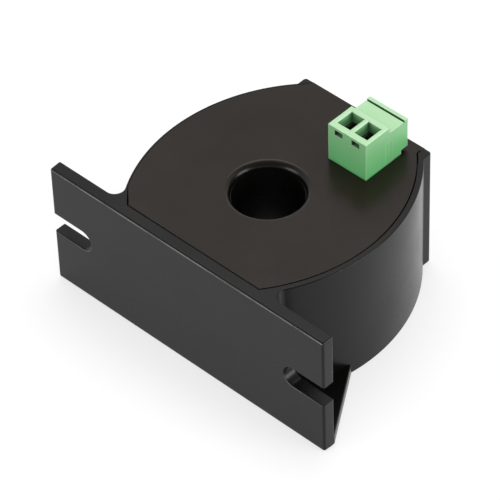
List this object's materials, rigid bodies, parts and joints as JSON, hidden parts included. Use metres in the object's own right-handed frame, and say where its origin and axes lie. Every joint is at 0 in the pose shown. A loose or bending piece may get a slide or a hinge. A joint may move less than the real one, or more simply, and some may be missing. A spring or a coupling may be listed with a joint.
{
  "type": "current sensing switch",
  "caption": "Moulded current sensing switch with a through bore for one conductor, a slotted panel flange, an inset lid and a clamp terminal.",
  "frame": {"origin": "on the bore's axis at the bottom face of the housing", "axes": "+Z along the bore, out through the lid; -Y out of the flange's mounting face; +X along the flange"},
  "size_m": [0.084, 0.0616, 0.0449],
  "materials": {
    "housing_abs": "satin",
    "lid_abs": "matt",
    "terminal_nylon": "satin",
    "screw_steel": "nickel plated",
    "cage_brass": "nickel plated",
    "contact_copper": "tin plated",
    "board_laminate": "solder mask",
    "core_steel": "wound strip",
    "insulation_film": "satin",
    "winding_copper": "enamelled",
    "tape_polyester": "satin",
    "pad_foam": "foam",
    "lead_insulation": "satin",
    "part_epoxy": "moulded",
    "capacitor_can": "sleeved",
    "varistor_coating": "dipped",
    "resistor_coating": "dipped",
    "diode_glass": "glassy"
  },
  "bodies": {
    "root": {"housing": "housing_abs", "lid": "lid_abs", "terminal_body": "terminal_nylon", "circuit_board": "board_laminate", "coil_pad": "pad_foam", "ring_core": "core_steel", "core_insulation": "insulation_film", "winding": "winding_copper", "outer_tape": "tape_polyester", "coil_lead_1": "lead_insulation", "coil_lead_2": "lead_insulation", "bridge_rectifier": "part_epoxy", "switching_device": "part_epoxy", "smoothing_capacitor": "capacitor_can", "surge_varistor": "varistor_coating", "load_resistor": "resistor_coating", "gate_resistor": "resistor_coating", "zener_diode": "diode_glass", "contact_1": "contact_copper", "contact_2": "contact_copper"},
    "clamp_screw_1": {"clamp_screw_1": "screw_steel"},
    "wire_cage_1": {"wire_cage_1": "cage_brass"},
    "clamp_screw_2": {"clamp_screw_2": "screw_steel"},
    "wire_cage_2": {"wire_cage_2": "cage_brass"}
  },
  "joints": [
    {"name": "clamp_screw_1_turn", "type": "hinge", "parent": "root", "child": "clamp_screw_1", "pos_m": [0.0063, 0.03, 0.0387], "axis": [0, 1, 0], "range_deg": [-1800, 0]},
    {"name": "wire_cage_1_slide", "type": "slide", "parent": "root", "child": "wire_cage_1", "axis": [0, 1, 0], "range_m": [0, 0.00225]},
    {"name": "clamp_screw_2_turn", "type": "hinge", "parent": "root", "child": "clamp_screw_2", "pos_m": [0.01138, 0.03, 0.0387], "axis": [0, 1, 0], "range_deg": [-1800, 0]},
    {"name": "wire_cage_2_slide", "type": "slide", "parent": "root", "child": "wire_cage_2", "axis": [0, 1, 0], "range_m": [0, 0.00225]}
  ],
  "couplings": [
    {"joint": "clamp_screw_1_turn", "follows": "wire_cage_1_slide", "rad_per_m": -13963},
    {"joint": "clamp_screw_2_turn", "follows": "wire_cage_2_slide", "rad_per_m": -13963}
  ]
}
